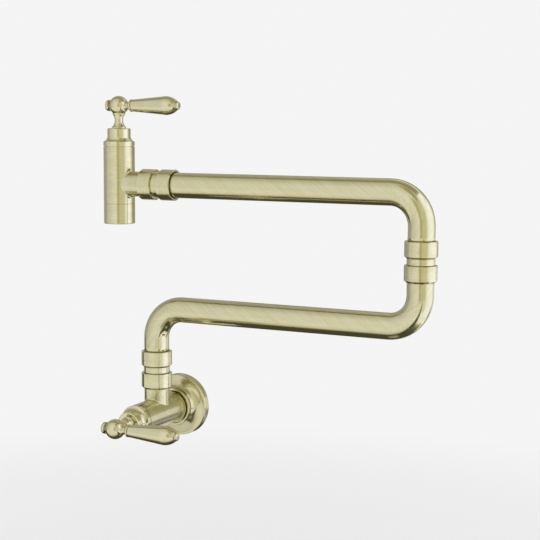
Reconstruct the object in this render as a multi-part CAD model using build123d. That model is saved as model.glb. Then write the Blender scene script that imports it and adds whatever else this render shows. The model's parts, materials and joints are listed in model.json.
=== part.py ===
"""Wall mounted pot filler: wall valve, two folding arms and a spout with its own valve.

Millimetres, +Z up. The origin is the centre of the flange's wall face, the wall is the plane
Y = 0 and the fitting stands out from it towards -Y. At rest both arms lie along the wall.
"""
from build123d import *
import os
from math import sqrt

# ---------------------------------------------------------------- layout
wall_reach = 51.2            # wall face to the plane that holds riser, arms and spout
lower_span = 278.5           # base riser axis to elbow axis
upper_span = 321.4           # elbow axis to spout axis
base_stub_rise = 26.3        # wall valve axis to the underside of the base socket
run_over_collar = 13.4       # straight pipe between a collar and the bend above it
run_under_socket = 12.3      # straight pipe between the lower bend and the elbow socket
spout_stub_out = 27.0        # spout axis to the face of the union
bend_r = 30.0                # centre line radius of every pipe bend

# ---------------------------------------------------------------- fits
running_fit = 0.05           # radial clearance of turning and screwed pieces
loose_fit = 0.3              # clearance where pieces only pass each other
ring_fit = 0.02              # clearance left round a fitted seal ring

# ---------------------------------------------------------------- pipe and swivel set
pipe_r = 12.5
pipe_wall = 1.5
pipe_seat = 5.5              # depth a pipe enters a collar from its open end
socket_seat = 5.0            # depth a pipe enters a socket
collar_wall = 2.8            # collar radius over the pipe
collar_len = 16.0
neck_step = 0.5              # neck radius over the pipe
neck_len = 6.0
collar_edge = 0.5            # small edge break of a collar
collar_taper_len = 2.0       # chamfer down to the neck at one end of a collar
mouth_chamfer = 0.75         # shadow line where the pipe enters a collar
screw_step = 1.0             # spigot screw radius under the pipe radius
screw_room = 2.5             # end of the screwed stem to the end of the pipe
spigot_step = 3.5            # spigot radius under the pipe radius
spigot_wall = 2.5
spigot_past_bearing = 1.8
clip_room = 2.2              # height of the clip's chamber in the socket
clip_recess_step = 1.3       # clip chamber radius under the pipe radius
swivel_washer_t = 0.5
swivel_washer_inset = 0.4
ring_w = 1.8                 # seal ring width along the axis
ring_groove_w = 2.2
ring_groove_depth = 1.3
swivel_ring_count = 2        # evenly spaced along the running bore
clip_t = 0.9
clip_play = 0.15             # clip to the underside of the running bore
clip_groove_depth = 1.0
clip_proud = 1.6             # clip radius over the spigot radius
clip_gap = 7.0               # opening of the split clip
end_break = 0.4              # chamfer on plain turned ends

# ---------------------------------------------------------------- valve bodies
body_r = 15.65
stub_bore_r = 6.5
root_fillet = 1.5
shoulder_h = 36.9            # stub axis to the shoulder under the bonnet
neck_over_shoulder = 2.5
chamber_r = 10.5
seat_drop = 8.1              # stub axis down to the cartridge seat
seat_web = 3.0
seat_port_r = 5.0
inlet_bore_r = 7.5
body_edge = 0.3

# ---------------------------------------------------------------- bonnet
bonnet_len = 18.5            # shoulder to the bonnet's top face
bonnet_r = 11.6
bonnet_round = 1.2
bonnet_wall = 2.1
bonnet_web = 3.2
bonnet_groove_w = 0.8        # shadow groove under the bonnet's ring
bonnet_groove_depth = 0.9
bonnet_ring_w = 4.8
bonnet_ring_round = 0.4
cove_h = 5.0
cove_step = 0.65             # ring radius down to the foot of the cove
flange_headroom = 0.3

# ---------------------------------------------------------------- cartridge
housing_flange_t = 2.2
housing_flange_play = 0.7    # corners of its hexagon to the bonnet's skirt
housing_headroom = 1.2       # top of its neck to the bonnet's ceiling
housing_ring_drop = 12.4     # top of the body down to the seal ring's groove
housing_ring_w = 2.4
housing_ring_depth = 1.3
housing_band_w = 2.1         # screwed band under the seal ring
housing_foot_gap = 1.0       # cartridge seat to the end of the sleeve
housing_sleeve_step = 1.3    # sleeve radius under the chamber radius
housing_wall = 1.9
housing_ceiling = 12.0
window_w = 7.0
window_low = -1.0
window_high = 8.0
disc_play = 0.1              # disc and key radius under the sleeve's bore
fixed_disc_t = 4.0
moving_disc_t = 3.0
disc_joint_h = 0.4
disc_port_in = 1.8
disc_port_edge = 1.6         # disc rim to its ports
disc_port_angle = 80
seal_w = 2.6                 # seat seal's width along the radius
disc_slot_w = 4.0
disc_slot_depth = 1.5

# ---------------------------------------------------------------- spindle
spindle_r = 4.0
spindle_bar_w = 7.0
spindle_bar_top = 8.5
spindle_step_over = 1.6      # bonnet's top face to the spindle's step
spindle_tail_r = 2.6
spindle_tail_past_ball = 3.5
spindle_flat = 0.5
spindle_ring_drop = 5.0      # top of the cartridge's neck down to the spindle's ring
spindle_ring_depth = 1.0
spindle_play = 0.1

# ---------------------------------------------------------------- lever handle
stem_h = 22.6                # bonnet's top face to the centre of the handle's ball
ball_r = 9.65
stem_foot_r = 7.4
stem_waist_r = 4.2
stem_waist_drop = 14.6       # ball centre down to the waist
stem_ring_r = 6.4
stem_ring_t = 2.2
stem_foot_t = 0.6
neck_base_r = 5.0
neck_waist_r = 3.7
neck_waist_at = 10.6         # ball centre to the lever's waist
bead_past_waist = 3.6
bead_r = 6.3
bead_w = 2.0
bead_root_r = 5.0
grip_groove_w = 0.8
grip_groove_r = 4.9
grip_root_r = 6.0
grip_taper_len = 37.5
grip_full_r = 9.25
grip_round_len = 12.6
grip_end_r = 4.4
tip_r = 4.1
tip_len = 2.4
tip_round = 1.9
tip_screw_r = 2.0
tip_screw_len = 9.0
lever_shank_r = 3.0
finial_neck_r = 4.3
finial_groove_r = 3.7
finial_neck_len = 1.5
finial_r = 5.7
finial_len = 3.6
finial_round = 2.2
finial_screw_r = 2.0
grub_r = 2.0
grub_len = 4.6
grub_key = 2.0               # across the flats of its hexagon socket

# ---------------------------------------------------------------- wall end
rim_step = 0.55              # rim radius over the body radius
rim_w = 1.5
rim_sink = 0.1               # back of the rim behind the flange's lip
shank_out = 6.0              # wall face to the back end of the shank
inlet_thread_r = 10.48       # G 1/2 outside thread
inlet_wall = 3.5
inlet_depth = 14.0
inlet_past_wall = 22.0
inlet_key = 12.0             # hexagon hole for the fitting key
inlet_relief_w = 1.8         # plain waist between the two screwed ends
inlet_relief_depth = 0.9
flange_r = 32.0
flange_band = 7.0
flange_bead = 1.5
flange_face = 1.1            # flat width beside the bead
flange_groove_step = 0.4     # groove radius under the flat's inner edge
flange_groove_depth = 0.6
dish_top_out = 14.6
dish_sag = 1.49              # depth of the dish's arc under its chord
lip_gap = 0.8                # flange's lip to the body's rim
lip_wall = 2.3
lip_out = 19.5
lip_round = 0.8
lip_depth = 4.5              # lip's edge down to the web
web_t = 5.5
flange_rim_wall = 2.6        # outside of the gasket to the outside of the flange
gasket_w = 2.4
gasket_t = 3.0
flange_hollow_out = 5.2
hollow_hub_step = 1.0        # hollow's inner radius over the lip's bore
flange_ring_w = 2.2
flange_ring_depth = 1.5

# ---------------------------------------------------------------- outlet
outlet_joint_drop = 19.9     # stub axis down to the joint between spout body and tip
outlet_tip_len = 20.2
outlet_screw_r = 11.0
outlet_washer_t = 1.3
outlet_washer_bore = 7.5
outlet_bore_r = 8.0
outlet_round = 0.8
aerator_depth = 12.1         # outlet's edge up to the seat of the flow former
aerator_r = 10.5
aerator_washer_t = 2.0
aerator_washer_bore = 8.0
aerator_recess = 1.1
aerator_hole_r = 1.15
aerator_pitch = 3.1
aerator_rings = 2

# ---------------------------------------------------------------- worked out from the above
set_len = 2 * collar_len + neck_len
collar_r = pipe_r + collar_wall
neck_r = pipe_r + neck_step
screw_r = pipe_r - screw_step
screw_len = collar_len - pipe_seat - screw_room
swivel_bearing = collar_len - socket_seat - clip_room
spigot_r = pipe_r - spigot_step
spigot_bore_r = spigot_r - spigot_wall
spigot_len = swivel_bearing + spigot_past_bearing
clip_groove_r = spigot_r - clip_groove_depth
clip_r = spigot_r + clip_proud
base_swivel_z = base_stub_rise + collar_len
lower_arm_z = base_stub_rise + set_len + run_over_collar + bend_r
elbow_swivel_z = lower_arm_z + bend_r + run_under_socket + collar_len
upper_arm_z = elbow_swivel_z + neck_len + collar_len + run_over_collar + bend_r
spout_x = lower_span - upper_span
union_out = spout_stub_out + collar_len

body_top = shoulder_h + neck_over_shoulder
body_neck_r = (chamber_r + body_r) / 2
seat_h = -seat_drop
rim_r = body_r + rim_step
shank_r = inlet_thread_r + inlet_wall

bonnet_h = shoulder_h + bonnet_len
bonnet_ring_low = shoulder_h + bonnet_groove_w
cove_low = bonnet_ring_low + bonnet_ring_w
cove_top = cove_low + cove_h
bonnet_groove_r = body_r - bonnet_groove_depth
cove_r = body_r - cove_step
bonnet_ceiling = bonnet_h - bonnet_web

housing_flange_r = body_neck_r - housing_flange_play
housing_neck_r = bonnet_r - bonnet_wall
housing_neck_h = bonnet_ceiling - housing_headroom
housing_ring_high = body_top - housing_ring_drop
housing_ring_low = housing_ring_high - housing_ring_w
housing_ring_r = chamber_r - housing_ring_depth
housing_band_h = housing_ring_low - housing_band_w
housing_bottom = seat_h + housing_foot_gap
housing_r = chamber_r - housing_sleeve_step
housing_bore_r = housing_r - housing_wall
disc_r = housing_bore_r - disc_play

spindle_step_h = bonnet_h + spindle_step_over
spindle_ring_h = housing_neck_h - spindle_ring_drop
spindle_ring_groove_r = spindle_r - spindle_ring_depth
ball_h = bonnet_h + stem_h
stem_ring_drop = sqrt(ball_r ** 2 - stem_ring_r ** 2)
bead_at = neck_waist_at + bead_past_waist
grip_at = bead_at + bead_w + grip_groove_w
grip_full_at = grip_at + grip_taper_len
grip_end_at = grip_full_at + grip_round_len

lip_bore_r = rim_r + lip_gap
lip_r = lip_bore_r + lip_wall
rim_out = lip_out - rim_sink
web_front = lip_out - lip_depth
web_back = web_front - web_t
flange_ring_out = (web_front + web_back) / 2
gasket_r = flange_r - flange_rim_wall
flange_hollow_r = gasket_r - gasket_w
hollow_hub_r = lip_bore_r + hollow_hub_step

outlet_joint_h = -outlet_joint_drop
outlet_end_h = outlet_joint_h - outlet_tip_len
aerator_seat_h = outlet_end_h + aerator_depth

base_valve = Plane(origin=(0, -wall_reach, 0), x_dir=(1, 0, 0), z_dir=(0, -1, 0))
spout_valve = Plane(origin=(spout_x, -wall_reach, upper_arm_z), x_dir=(1, 0, 0), z_dir=(0, 0, 1))
base_swivel = Pos(0, -wall_reach, base_swivel_z)
elbow_swivel = Pos(lower_span, -wall_reach, elbow_swivel_z)
spout_union = Plane(
    origin=(spout_x + union_out, -wall_reach, upper_arm_z), x_dir=(0, 0, 1), z_dir=(1, 0, 0)
)


# ---------------------------------------------------------------- shared shapes
def turned(*outline):
    """Solid turned about Z; the outline's points and curves are (radius, height)."""
    return revolve(Plane.XZ * make_face(Curve() + list(outline)), Axis.Z)


def turned_points(*points):
    """Solid turned about Z from straight runs only."""
    return turned(Polyline(*points, close=True))


def tube(bore, radius, low, high):
    """Straight turned ring, or a plain cylinder where the bore is nothing."""
    return turned_points((bore, low), (radius, low), (radius, high), (bore, high))


def seal_ring(inner, outer, centre, width):
    """Seal ring with a rounded section, pressed into its groove."""
    section = RectangleRounded(outer - inner, width, 0.45 * (outer - inner))
    return revolve(Plane.XZ * Pos((inner + outer) / 2, centre) * section, Axis.Z)


def split_ring(shape, gap):
    """Open a ring at one side, as a spring clip is."""
    reach = 4 * gap
    return shape - Pos(reach / 2, 0, 0) * Box(reach, gap, reach * 2)


def hexagon(flats, length):
    """Hexagonal bar about Z from height 0."""
    return extrude(RegularPolygon(flats / 2, 6, major_radius=False), length)


# ---------------------------------------------------------------- swivel set, height 0 at its joint
def swivel_socket():
    """Lower collar: pipe seat below, clip chamber, running bore for the spigot."""
    seat_z = socket_seat - collar_len
    fit_r = pipe_r + running_fit
    chamber = pipe_r - clip_recess_step
    bore = spigot_r + running_fit
    return turned_points(
        (bore, 0), (collar_r - collar_edge, 0), (collar_r, -collar_edge),
        (collar_r, collar_taper_len - collar_len), (neck_r, -collar_len),
        (fit_r, -collar_len), (fit_r, seat_z), (chamber, seat_z),
        (chamber, -swivel_bearing), (bore, -swivel_bearing),
    )


def upper_collar():
    """Upper collar: screwed on the spigot below, pipe seat above."""
    top = neck_len + collar_len
    seat_z = top - pipe_seat
    fit_r = pipe_r + running_fit
    bore = screw_r + running_fit
    return turned_points(
        (bore, neck_len), (neck_r, neck_len),
        (collar_r, neck_len + collar_taper_len), (collar_r, top - collar_edge),
        (collar_r - collar_edge, top), (fit_r + mouth_chamfer, top),
        (fit_r, top - mouth_chamfer), (fit_r, seat_z), (bore, seat_z),
    )


def ring_heights():
    """Middles of the seal rings, evenly spaced along the running bore."""
    pitch = swivel_bearing / (swivel_ring_count + 1)
    return [-pitch * (i + 1) for i in range(swivel_ring_count)]


def swivel_spigot():
    """Neck ring with a screwed stem above it and a grooved running stem below it."""
    top = neck_len + screw_len
    body = turned_points(
        (spigot_bore_r, -spigot_len), (spigot_r - end_break, -spigot_len),
        (spigot_r, end_break - spigot_len), (spigot_r, swivel_washer_t), (neck_r, swivel_washer_t),
        (neck_r, neck_len), (screw_r, neck_len), (screw_r, top - end_break),
        (screw_r - end_break, top), (spigot_bore_r, top),
    )
    for z in ring_heights():
        groove = (z - ring_groove_w / 2, z + ring_groove_w / 2)
        body -= tube(spigot_r - ring_groove_depth, spigot_r + 1, *groove)
    clip_low, clip_high = clip_span()
    return body - tube(clip_groove_r, spigot_r + 1, clip_low - ring_fit, clip_high + ring_fit)


def clip_span():
    """Lower and upper face of the clip, just under the socket's running bore."""
    clip_high = -swivel_bearing - clip_play
    return clip_high - clip_t, clip_high


def swivel_rings():
    """The two seal rings of a spigot."""
    inner = spigot_r - ring_groove_depth + ring_fit
    return Compound([seal_ring(inner, spigot_r, z, ring_w).solid() for z in ring_heights()])


def swivel_clip():
    """Split spring clip that keeps the spigot in its socket."""
    return split_ring(tube(clip_groove_r + ring_fit, clip_r, *clip_span()), clip_gap)


def swivel_washer():
    """Thin bearing washer between socket and neck."""
    return tube(spigot_r + 2 * running_fit, neck_r - swivel_washer_inset, 0, swivel_washer_t)


def union_spout_collar():
    """Collar on the spout side of the union, screwed on its nipple."""
    seat_z = socket_seat - collar_len
    fit_r = pipe_r + running_fit
    bore = screw_r + running_fit
    return turned_points(
        (bore, 0), (collar_r - collar_edge, 0), (collar_r, -collar_edge),
        (collar_r, collar_taper_len - collar_len), (neck_r, -collar_len),
        (fit_r, -collar_len), (fit_r, seat_z), (bore, seat_z),
    )


def union_nipple():
    """Neck ring with a screwed stem on both sides, which locks spout and arm together."""
    top = neck_len + screw_len
    return turned_points(
        (spigot_bore_r, -screw_len), (screw_r - end_break, -screw_len),
        (screw_r, end_break - screw_len), (screw_r, 0), (neck_r, 0), (neck_r, neck_len),
        (screw_r, neck_len), (screw_r, top - end_break), (screw_r - end_break, top),
        (spigot_bore_r, top),
    )


def union_washers():
    """Flat washers between the nipple's two ends and the stub and pipe."""
    outer = screw_r - running_fit
    near_spout = tube(spigot_bore_r, outer, socket_seat - collar_len, -screw_len)
    near_arm = tube(spigot_bore_r, outer, neck_len + screw_len, neck_len + collar_len - pipe_seat)
    return Compound([near_spout.solid(), near_arm.solid()])


# ---------------------------------------------------------------- arms
def bent_pipe(path):
    """Pipe swept along its centre line."""
    start = Plane(origin=path @ 0, z_dir=path % 0)
    return sweep(start * (Circle(pipe_r) - Circle(pipe_r - pipe_wall)), path=path)


def arm_path(*points):
    """Centre line through the points, in the arms' plane, with every corner bent."""
    return FilletPolyline(*[(x, -wall_reach, z) for x, z in points], radius=bend_r)


def lower_arm_tube():
    start_z = base_swivel_z + neck_len + collar_len - pipe_seat
    end_z = elbow_swivel_z - collar_len + socket_seat
    corners = [(0, start_z), (0, lower_arm_z), (lower_span, lower_arm_z), (lower_span, end_z)]
    return bent_pipe(arm_path(*corners))


def upper_arm_tube():
    start_z = elbow_swivel_z + neck_len + collar_len - pipe_seat
    end_x = spout_x + union_out + neck_len + collar_len - pipe_seat
    return bent_pipe(
        arm_path((lower_span, start_z), (lower_span, upper_arm_z), (end_x, upper_arm_z))
    )


# ---------------------------------------------------------------- valve bodies, height 0 at the stub
def with_stub(outer, direction, length):
    """Body with its pipe stub, blended into it by a small root fillet."""
    stub_plane = Plane(origin=(0, 0, 0), z_dir=direction)
    stub = stub_plane * extrude(Circle(pipe_r), length)
    joined = outer + stub
    root = [
        e for e in joined.edges()
        if e.geom_type not in (GeomType.LINE, GeomType.CIRCLE)
    ]
    return fillet(root, min(root_fillet, (body_r - pipe_r) / 2))


def cartridge_cavity():
    """Chamber for the cartridge and the port through its seat."""
    chamber = tube(0, chamber_r, seat_h, body_top + 1)
    port = tube(0, seat_port_r, seat_h - seat_web - 1, seat_h + 1)
    return chamber + port


def stub_bore(direction, length):
    stub_plane = Plane(origin=(0, 0, 0), z_dir=direction)
    return stub_plane * extrude(Circle(stub_bore_r), length + 1)


def base_valve_body():
    """Wall valve: shank in the flange, rim, barrel, riser stub and cartridge chamber."""
    rim_back = rim_out - wall_reach
    shank_end = shank_out - wall_reach
    groove_r = shank_r - flange_ring_depth
    groove = flange_ring_out - wall_reach
    barrel = turned_points(
        (0, shank_end), (shank_r - end_break, shank_end), (shank_r, shank_end + end_break),
        (shank_r, rim_back), (rim_r, rim_back), (rim_r, rim_back + rim_w),
        (body_r, rim_back + rim_w), (body_r, shoulder_h), (body_neck_r, shoulder_h),
        (body_neck_r, body_top), (0, body_top),
    )
    stub_len = base_stub_rise + socket_seat
    body = with_stub(barrel, (0, 1, 0), stub_len)
    body -= cartridge_cavity()
    body -= stub_bore((0, 1, 0), stub_len)
    body -= tube(0, inlet_bore_r, shank_end - 1, seat_h - seat_web)
    body -= tube(0, inlet_thread_r + running_fit, shank_end - 1, shank_end + inlet_depth)
    half_groove = flange_ring_w / 2 + ring_fit
    return body - tube(groove_r, shank_r + 1, groove - half_groove, groove + half_groove)


def spout_body():
    """Spout: barrel open to the outlet tip below, stub to the arm and cartridge chamber."""
    barrel = turned_points(
        (0, outlet_joint_h), (body_r - body_edge, outlet_joint_h),
        (body_r, outlet_joint_h + body_edge), (body_r, shoulder_h), (body_neck_r, shoulder_h),
        (body_neck_r, body_top), (0, body_top),
    )
    stub_len = spout_stub_out + socket_seat
    body = with_stub(barrel, (1, 0, 0), stub_len)
    body -= cartridge_cavity()
    body -= stub_bore((1, 0, 0), stub_len)
    return body - tube(0, outlet_screw_r + running_fit, outlet_joint_h - 1, seat_h - seat_web)


# ---------------------------------------------------------------- bonnet and cartridge
def bonnet():
    """Cover nut: ring, cove and plain barrel, screwed on the cartridge's neck."""
    skirt_r = body_neck_r + running_fit
    screw_bore = housing_neck_r + running_fit
    skirt_top = body_top + housing_flange_t + flange_headroom
    hole = spindle_r + loose_fit
    ceiling = bonnet_ceiling
    ring_top = cove_low - bonnet_ring_round
    return turned(
        Polyline(
            (hole, ceiling), (screw_bore, ceiling), (screw_bore, skirt_top), (skirt_r, skirt_top),
            (skirt_r, shoulder_h), (bonnet_groove_r, shoulder_h),
            (bonnet_groove_r, bonnet_ring_low), (body_r, bonnet_ring_low), (body_r, ring_top),
            (body_r - bonnet_ring_round, cove_low), (cove_r, cove_low),
        ),
        TangentArc((bonnet_r, cove_top), (cove_r, cove_low), tangent=(0, -1)),
        Line((bonnet_r, cove_top), (bonnet_r, bonnet_h - bonnet_round)),
        TangentArc(
            (bonnet_r, bonnet_h - bonnet_round), (bonnet_r - bonnet_round, bonnet_h), tangent=(0, 1)
        ),
        Polyline((bonnet_r - bonnet_round, bonnet_h), (hole, bonnet_h), (hole, ceiling)),
    )


def cartridge_housing():
    """Brass cartridge: neck, hexagon, screw, ring groove and windowed lower sleeve."""
    screw = chamber_r - running_fit
    bore = spindle_r + running_fit
    body = turned_points(
        (bore, housing_ceiling), (bore, housing_neck_h), (housing_neck_r, housing_neck_h),
        (housing_neck_r, body_top), (screw, body_top), (screw, housing_ring_high),
        (housing_ring_r, housing_ring_high),
        (housing_ring_r, housing_ring_low), (screw, housing_ring_low), (screw, housing_band_h),
        (housing_r, housing_band_h), (housing_r, housing_bottom), (housing_bore_r, housing_bottom),
        (housing_bore_r, housing_ceiling),
    )
    flats = housing_flange_r * sqrt(3)
    nut = Pos(0, 0, body_top) * hexagon(flats, housing_flange_t)
    body += nut - tube(0, bore, body_top - 1, body_top + housing_flange_t + 1)
    window = Pos(0, 0, (window_low + window_high) / 2) * Box(
        4 * housing_r, window_w, window_high - window_low
    )
    return body - window - Rot(0, 0, 90) * window


def cartridge_o_ring():
    centre = (housing_ring_low + housing_ring_high) / 2
    return seal_ring(housing_ring_r + ring_fit, chamber_r - ring_fit, centre, ring_w)


def cartridge_seal():
    """Rubber seat seal under the fixed disc."""
    return tube(disc_r - seal_w, disc_r, seat_h, disc_joint_h - fixed_disc_t)


def disc_port():
    """Sector of a ring, the opening of a ceramic disc, centred on +X."""
    ring = Circle(disc_r - disc_port_edge) - Circle(disc_port_in)
    half = disc_port_angle / 2
    reach = 2 * disc_r
    wedge = make_face(Polyline(
        (0, 0), Vector(reach, 0).rotate(Axis.Z, -half), Vector(reach, 0).rotate(Axis.Z, half),
        close=True,
    ))
    return ring & wedge


def fixed_disc():
    """Ceramic disc with two ports across the lever's line."""
    plate = tube(0, disc_r, disc_joint_h - fixed_disc_t, disc_joint_h)
    for angle in (90, 270):
        port = extrude(Rot(0, 0, angle) * disc_port(), 2 * fixed_disc_t)
        plate -= Pos(0, 0, disc_joint_h - 1.5 * fixed_disc_t) * port
    return plate


def moving_disc():
    """Ceramic disc with two ports, shut at rest, and a slot for the spindle's key."""
    top = disc_joint_h + moving_disc_t
    plate = tube(0, disc_r - running_fit, disc_joint_h, top)
    for angle in (0, 180):
        port = extrude(Rot(0, 0, angle) * disc_port(), 2 * moving_disc_t)
        plate -= Pos(0, 0, disc_joint_h - moving_disc_t / 2) * port
    slot = Pos(0, 0, top) * Box(disc_slot_w, 4 * disc_r, 2 * disc_slot_depth)
    return plate - slot


def spindle(screw_side):
    """Spindle: key for the moving disc, thrust collar, ringed stem and flatted tail."""
    disc_top = disc_joint_h + moving_disc_t
    key_w = disc_slot_w - 2 * running_fit
    key_low = disc_top - disc_slot_depth + running_fit
    head_r = housing_bore_r - disc_play
    collar_top = housing_ceiling - spindle_play
    bar = Pos(0, 0, key_low) * extrude(Rectangle(key_w, 2 * head_r), disc_top - key_low)
    bar += Pos(0, 0, disc_top) * extrude(
        Rectangle(spindle_bar_w, 2 * head_r), spindle_bar_top - disc_top
    )
    bar &= tube(0, head_r, key_low, spindle_bar_top)
    tail_top = ball_h + spindle_tail_past_ball
    stem = turned_points(
        (0, spindle_bar_top), (head_r, spindle_bar_top), (head_r, collar_top),
        (spindle_r, collar_top), (spindle_r, spindle_step_h), (spindle_tail_r, spindle_step_h),
        (spindle_tail_r, tail_top - end_break), (spindle_tail_r - end_break, tail_top),
        (0, tail_top),
    )
    groove = (spindle_ring_h - ring_groove_w / 2, spindle_ring_h + ring_groove_w / 2)
    stem -= tube(spindle_ring_groove_r, spindle_r + 1, *groove)
    flat_at = spindle_tail_r - spindle_flat
    flat = Pos(0, screw_side * (flat_at + spindle_tail_r), ball_h) * Box(
        4 * spindle_tail_r, 2 * spindle_tail_r, 4 * spindle_tail_past_ball
    )
    return bar + stem - (flat & tube(0, spindle_r, ball_h - stem_ring_drop, tail_top + 1))


def spindle_o_ring():
    return seal_ring(spindle_ring_groove_r + ring_fit, spindle_r, spindle_ring_h, ring_w)


# ---------------------------------------------------------------- lever handle, height from the stub
def along_lever(shape):
    """Lay a piece turned about Z along the lever's line, height 0 at the ball's centre."""
    return Pos(0, 0, ball_h) * Rot(0, 90, 0) * shape


def ball_flat(radius):
    """Distance from the ball's centre to a flat of this radius on it."""
    return sqrt(ball_r ** 2 - radius ** 2)


def screw_hole(radius, side):
    """Cross hole in the ball for the locking screw."""
    return Pos(0, 0, ball_h) * Rot(-side * 90, 0, 0) * tube(0, radius, 0, 2 * ball_r)


def handle_hub(screw_side):
    """Ball with flats for stem, lever and finial, bored for spindle, lever, finial and screw."""
    ball = Pos(0, 0, ball_h) * Sphere(ball_r)
    reach = 2 * ball_r
    keep = Pos(0, 0, ball_h) * Box(2 * reach, 2 * reach, 2 * reach)
    keep &= Pos((ball_flat(neck_base_r) - ball_flat(finial_neck_r)) / 2, 0, ball_h) * Box(
        ball_flat(neck_base_r) + ball_flat(finial_neck_r), 2 * reach, 2 * reach
    )
    keep &= Pos(0, 0, ball_h - stem_ring_drop + reach) * Box(2 * reach, 2 * reach, 2 * reach)
    ball &= keep
    spindle_hole_top = ball_h + spindle_tail_past_ball + loose_fit
    ball -= tube(0, spindle_tail_r + running_fit, ball_h - reach, spindle_hole_top)
    ball -= along_lever(tube(0, lever_shank_r + running_fit, 0, reach))
    ball -= along_lever(tube(0, finial_screw_r + running_fit, -reach, 0))
    return ball - screw_hole(grub_r + running_fit, screw_side)


def handle_stem():
    """Waisted stem cover between bonnet and ball."""
    foot = bonnet_h + loose_fit
    waist = ball_h - stem_waist_drop
    ring_top = ball_h - stem_ring_drop
    ring_low = ring_top - stem_ring_t
    bore = spindle_tail_r + running_fit
    pocket = spindle_r + loose_fit
    under_ring = stem_ring_r - 2 * end_break
    return turned(
        Polyline((pocket, foot), (stem_foot_r, foot), (stem_foot_r, foot + stem_foot_t)),
        TangentArc((stem_waist_r, waist), (stem_foot_r, foot + stem_foot_t), tangent=(0, -1)),
        TangentArc((stem_waist_r, waist), (under_ring, ring_low), tangent=(0, 1)),
        Line((under_ring, ring_low), (stem_ring_r - end_break, ring_low)),
        ThreePointArc(
            (stem_ring_r - end_break, ring_low), (stem_ring_r, (ring_low + ring_top) / 2),
            (stem_ring_r - end_break, ring_top),
        ),
        Polyline(
            (stem_ring_r - end_break, ring_top), (bore, ring_top), (bore, spindle_step_h),
            (pocket, spindle_step_h), (pocket, foot),
        ),
    )


def handle_lever():
    """Turned lever: screwed shank, waisted neck, bead and swelling grip."""
    base = ball_flat(neck_base_r)
    shank_end = spindle_tail_r + loose_fit
    bead_end = bead_at + bead_w
    hole_r = tip_screw_r + running_fit
    hole_at = grip_end_at - tip_screw_len - 1
    neck_mid = ((neck_base_r + neck_waist_r) / 2 + 0.15, (base + neck_waist_at) / 2)
    return along_lever(turned(
        Polyline((0, shank_end), (lever_shank_r, shank_end), (lever_shank_r, base), (neck_base_r, base)),
        ThreePointArc((neck_base_r, base), neck_mid, (neck_waist_r, neck_waist_at)),
        TangentArc((neck_waist_r, neck_waist_at), (bead_root_r, bead_at), tangent=(0, 1)),
        Line((bead_root_r, bead_at), (bead_r - bead_w / 3, bead_at)),
        ThreePointArc(
            (bead_r - bead_w / 3, bead_at), (bead_r, bead_at + bead_w / 2),
            (bead_r - bead_w / 3, bead_end),
        ),
        Polyline(
            (bead_r - bead_w / 3, bead_end), (grip_groove_r, bead_end), (grip_groove_r, grip_at),
            (grip_root_r, grip_at), (grip_full_r, grip_full_at),
        ),
        TangentArc((grip_full_r, grip_full_at), (grip_end_r, grip_end_at), tangent=(0, 1)),
        Polyline(
            (grip_end_r, grip_end_at), (hole_r, grip_end_at), (hole_r, hole_at), (0, hole_at),
            (0, shank_end),
        ),
    ))


def button(radius, length, rounding, screw, screw_len, neck=(), start=0.0):
    """Round button on a screwed shank, its face at the far end."""
    face = start + length
    return turned(
        Polyline(
            (0, -screw_len), (screw, -screw_len), (screw, 0), *neck, (radius - end_break, start),
            (radius, start + end_break), (radius, face - rounding),
        ),
        TangentArc((radius, face - rounding), (radius - rounding, face), tangent=(0, 1)),
        Polyline((radius - rounding, face), (0, face), (0, -screw_len)),
    )


def handle_tip():
    """Button that closes the end of the grip."""
    piece = button(tip_r, tip_len, tip_round, tip_screw_r, tip_screw_len)
    return along_lever(Pos(0, 0, grip_end_at) * piece)


def handle_finial():
    """Button opposite the lever."""
    base = ball_flat(finial_neck_r)
    screw_len_in = base - spindle_tail_r - loose_fit
    neck = (
        (finial_neck_r, 0), (finial_groove_r, finial_neck_len / 2),
        (finial_groove_r, finial_neck_len),
    )
    piece = button(
        finial_r, finial_len, finial_round, finial_screw_r, screw_len_in, neck, finial_neck_len
    )
    return along_lever(Rot(180, 0, 0) * Pos(0, 0, base) * piece)


def grub_screw(side):
    """Socket screw that locks the ball on the spindle's flat."""
    tip = spindle_tail_r - spindle_flat + running_fit
    screw = tube(0, grub_r, tip, tip + grub_len)
    screw -= Pos(0, 0, tip + grub_len / 2) * hexagon(grub_key, grub_len)
    return Pos(0, 0, ball_h) * Rot(-side * 90, 0, 0) * screw


# ---------------------------------------------------------------- wall end
def wall_flange():
    """Dished flange with a raised lip round the body's rim, hollow behind."""
    bead_out = flange_band + flange_bead
    face_r = flange_r - flange_bead
    groove = (face_r - flange_face - flange_groove_step, bead_out - flange_groove_depth)
    lip_front = (lip_r - lip_round, lip_out)
    return turned(
        Line((flange_r, 0), (flange_r, flange_band)),
        TangentArc((flange_r, flange_band), (face_r, bead_out), tangent=(0, 1)),
        Polyline((face_r, bead_out), (face_r - flange_face, bead_out), groove),
        SagittaArc(groove, (lip_r, dish_top_out), dish_sag),
        Line((lip_r, dish_top_out), (lip_r, lip_out - lip_round)),
        TangentArc((lip_r, lip_out - lip_round), lip_front, tangent=(0, 1)),
        Line(lip_front, (lip_bore_r + lip_round, lip_out)),
        TangentArc(
            (lip_bore_r + lip_round, lip_out), (lip_bore_r, lip_out - lip_round), tangent=(-1, 0)
        ),
        Polyline(
            (lip_bore_r, lip_out - lip_round), (lip_bore_r, web_front),
            (shank_r + loose_fit, web_front), (shank_r + loose_fit, web_back),
            (hollow_hub_r, web_back), (flange_hollow_r, flange_hollow_out),
            (flange_hollow_r, gasket_t), (gasket_r, gasket_t), (gasket_r, 0), (flange_r, 0),
        ),
    )


def flange_gasket():
    """Foam ring that seals the flange to the wall."""
    return tube(flange_hollow_r, gasket_r - ring_fit, 0, gasket_t)


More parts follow.
